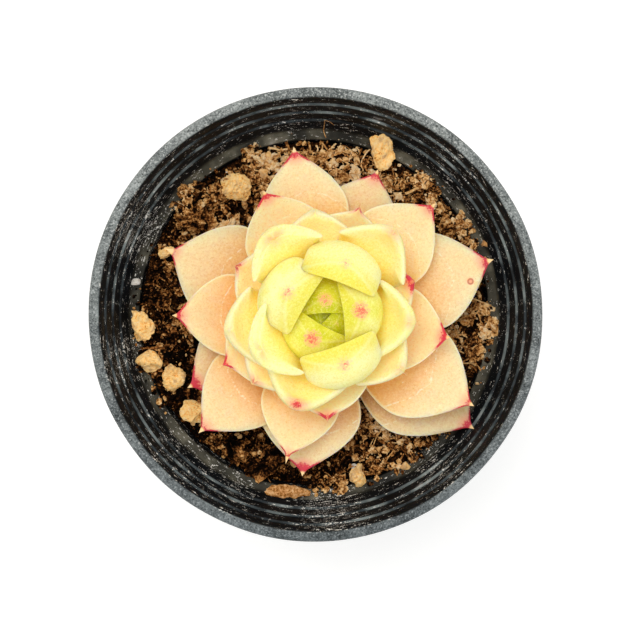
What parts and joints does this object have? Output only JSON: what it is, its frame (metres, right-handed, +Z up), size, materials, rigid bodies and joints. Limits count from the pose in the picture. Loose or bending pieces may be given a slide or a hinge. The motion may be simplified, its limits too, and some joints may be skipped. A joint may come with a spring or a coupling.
{
  "type": "potted echeveria",
  "caption": "Rosette succulent with plump cupped leaves, green at the heart and peach outside, on a short stem in gritty potting soil in a thin-walled black nursery pot.",
  "frame": {"origin": "centre of the pot's foot, on the surface that it stands on", "axes": "+Z up along the pot's axis; +X to the right and +Y to the top as the plant is seen from straight above"},
  "size_m": [0.09, 0.09, 0.0919],
  "materials": {
    "pot": "thin moulded plastic, satin inside, scuffed grey and dusty on the lip and ledge",
    "soil": "damp peaty potting mix with fibres, matte",
    "stem": "matte, fleshy",
    "stone": "porous baked clay and pumice grit, rough",
    "bark": "fibrous bark, rough",
    "leaf_heart": "waxy, translucent, lime green with red freckles",
    "leaf_inner": "waxy, translucent, lemon yellow with pale margins",
    "leaf_middle": "waxy, translucent, cream with crimson points",
    "leaf_outer": "waxy, translucent, peach with crimson points"
  },
  "bodies": {
    "root": {"pot": "pot", "soil": "soil", "stem": "stem", "stone_01": "stone", "stone_02": "stone", "stone_03": "stone", "stone_04": "stone", "stone_05": "stone", "stone_06": "stone", "stone_07": "stone", "stone_08": "stone", "bark_chip": "bark", "leaf_01": "leaf_heart", "leaf_02": "leaf_heart", "leaf_03": "leaf_heart", "leaf_04": "leaf_heart", "leaf_05": "leaf_heart", "leaf_06": "leaf_heart", "leaf_07": "leaf_inner", "leaf_08": "leaf_inner", "leaf_09": "leaf_inner", "leaf_10": "leaf_inner", "leaf_11": "leaf_inner", "leaf_12": "leaf_inner", "leaf_13": "leaf_inner", "leaf_14": "leaf_inner", "leaf_15": "leaf_inner", "leaf_16": "leaf_inner", "leaf_17": "leaf_middle", "leaf_18": "leaf_middle", "leaf_19": "leaf_middle", "leaf_20": "leaf_middle", "leaf_21": "leaf_middle", "leaf_22": "leaf_middle", "leaf_23": "leaf_middle", "leaf_24": "leaf_middle", "leaf_25": "leaf_middle", "leaf_26": "leaf_outer", "leaf_27": "leaf_outer", "leaf_28": "leaf_outer", "leaf_29": "leaf_outer", "leaf_30": "leaf_outer", "leaf_31": "leaf_outer", "leaf_32": "leaf_outer", "leaf_33": "leaf_outer", "leaf_34": "leaf_outer", "leaf_35": "leaf_outer", "leaf_36": "leaf_outer", "leaf_37": "leaf_outer"}
  },
  "joints": []
}
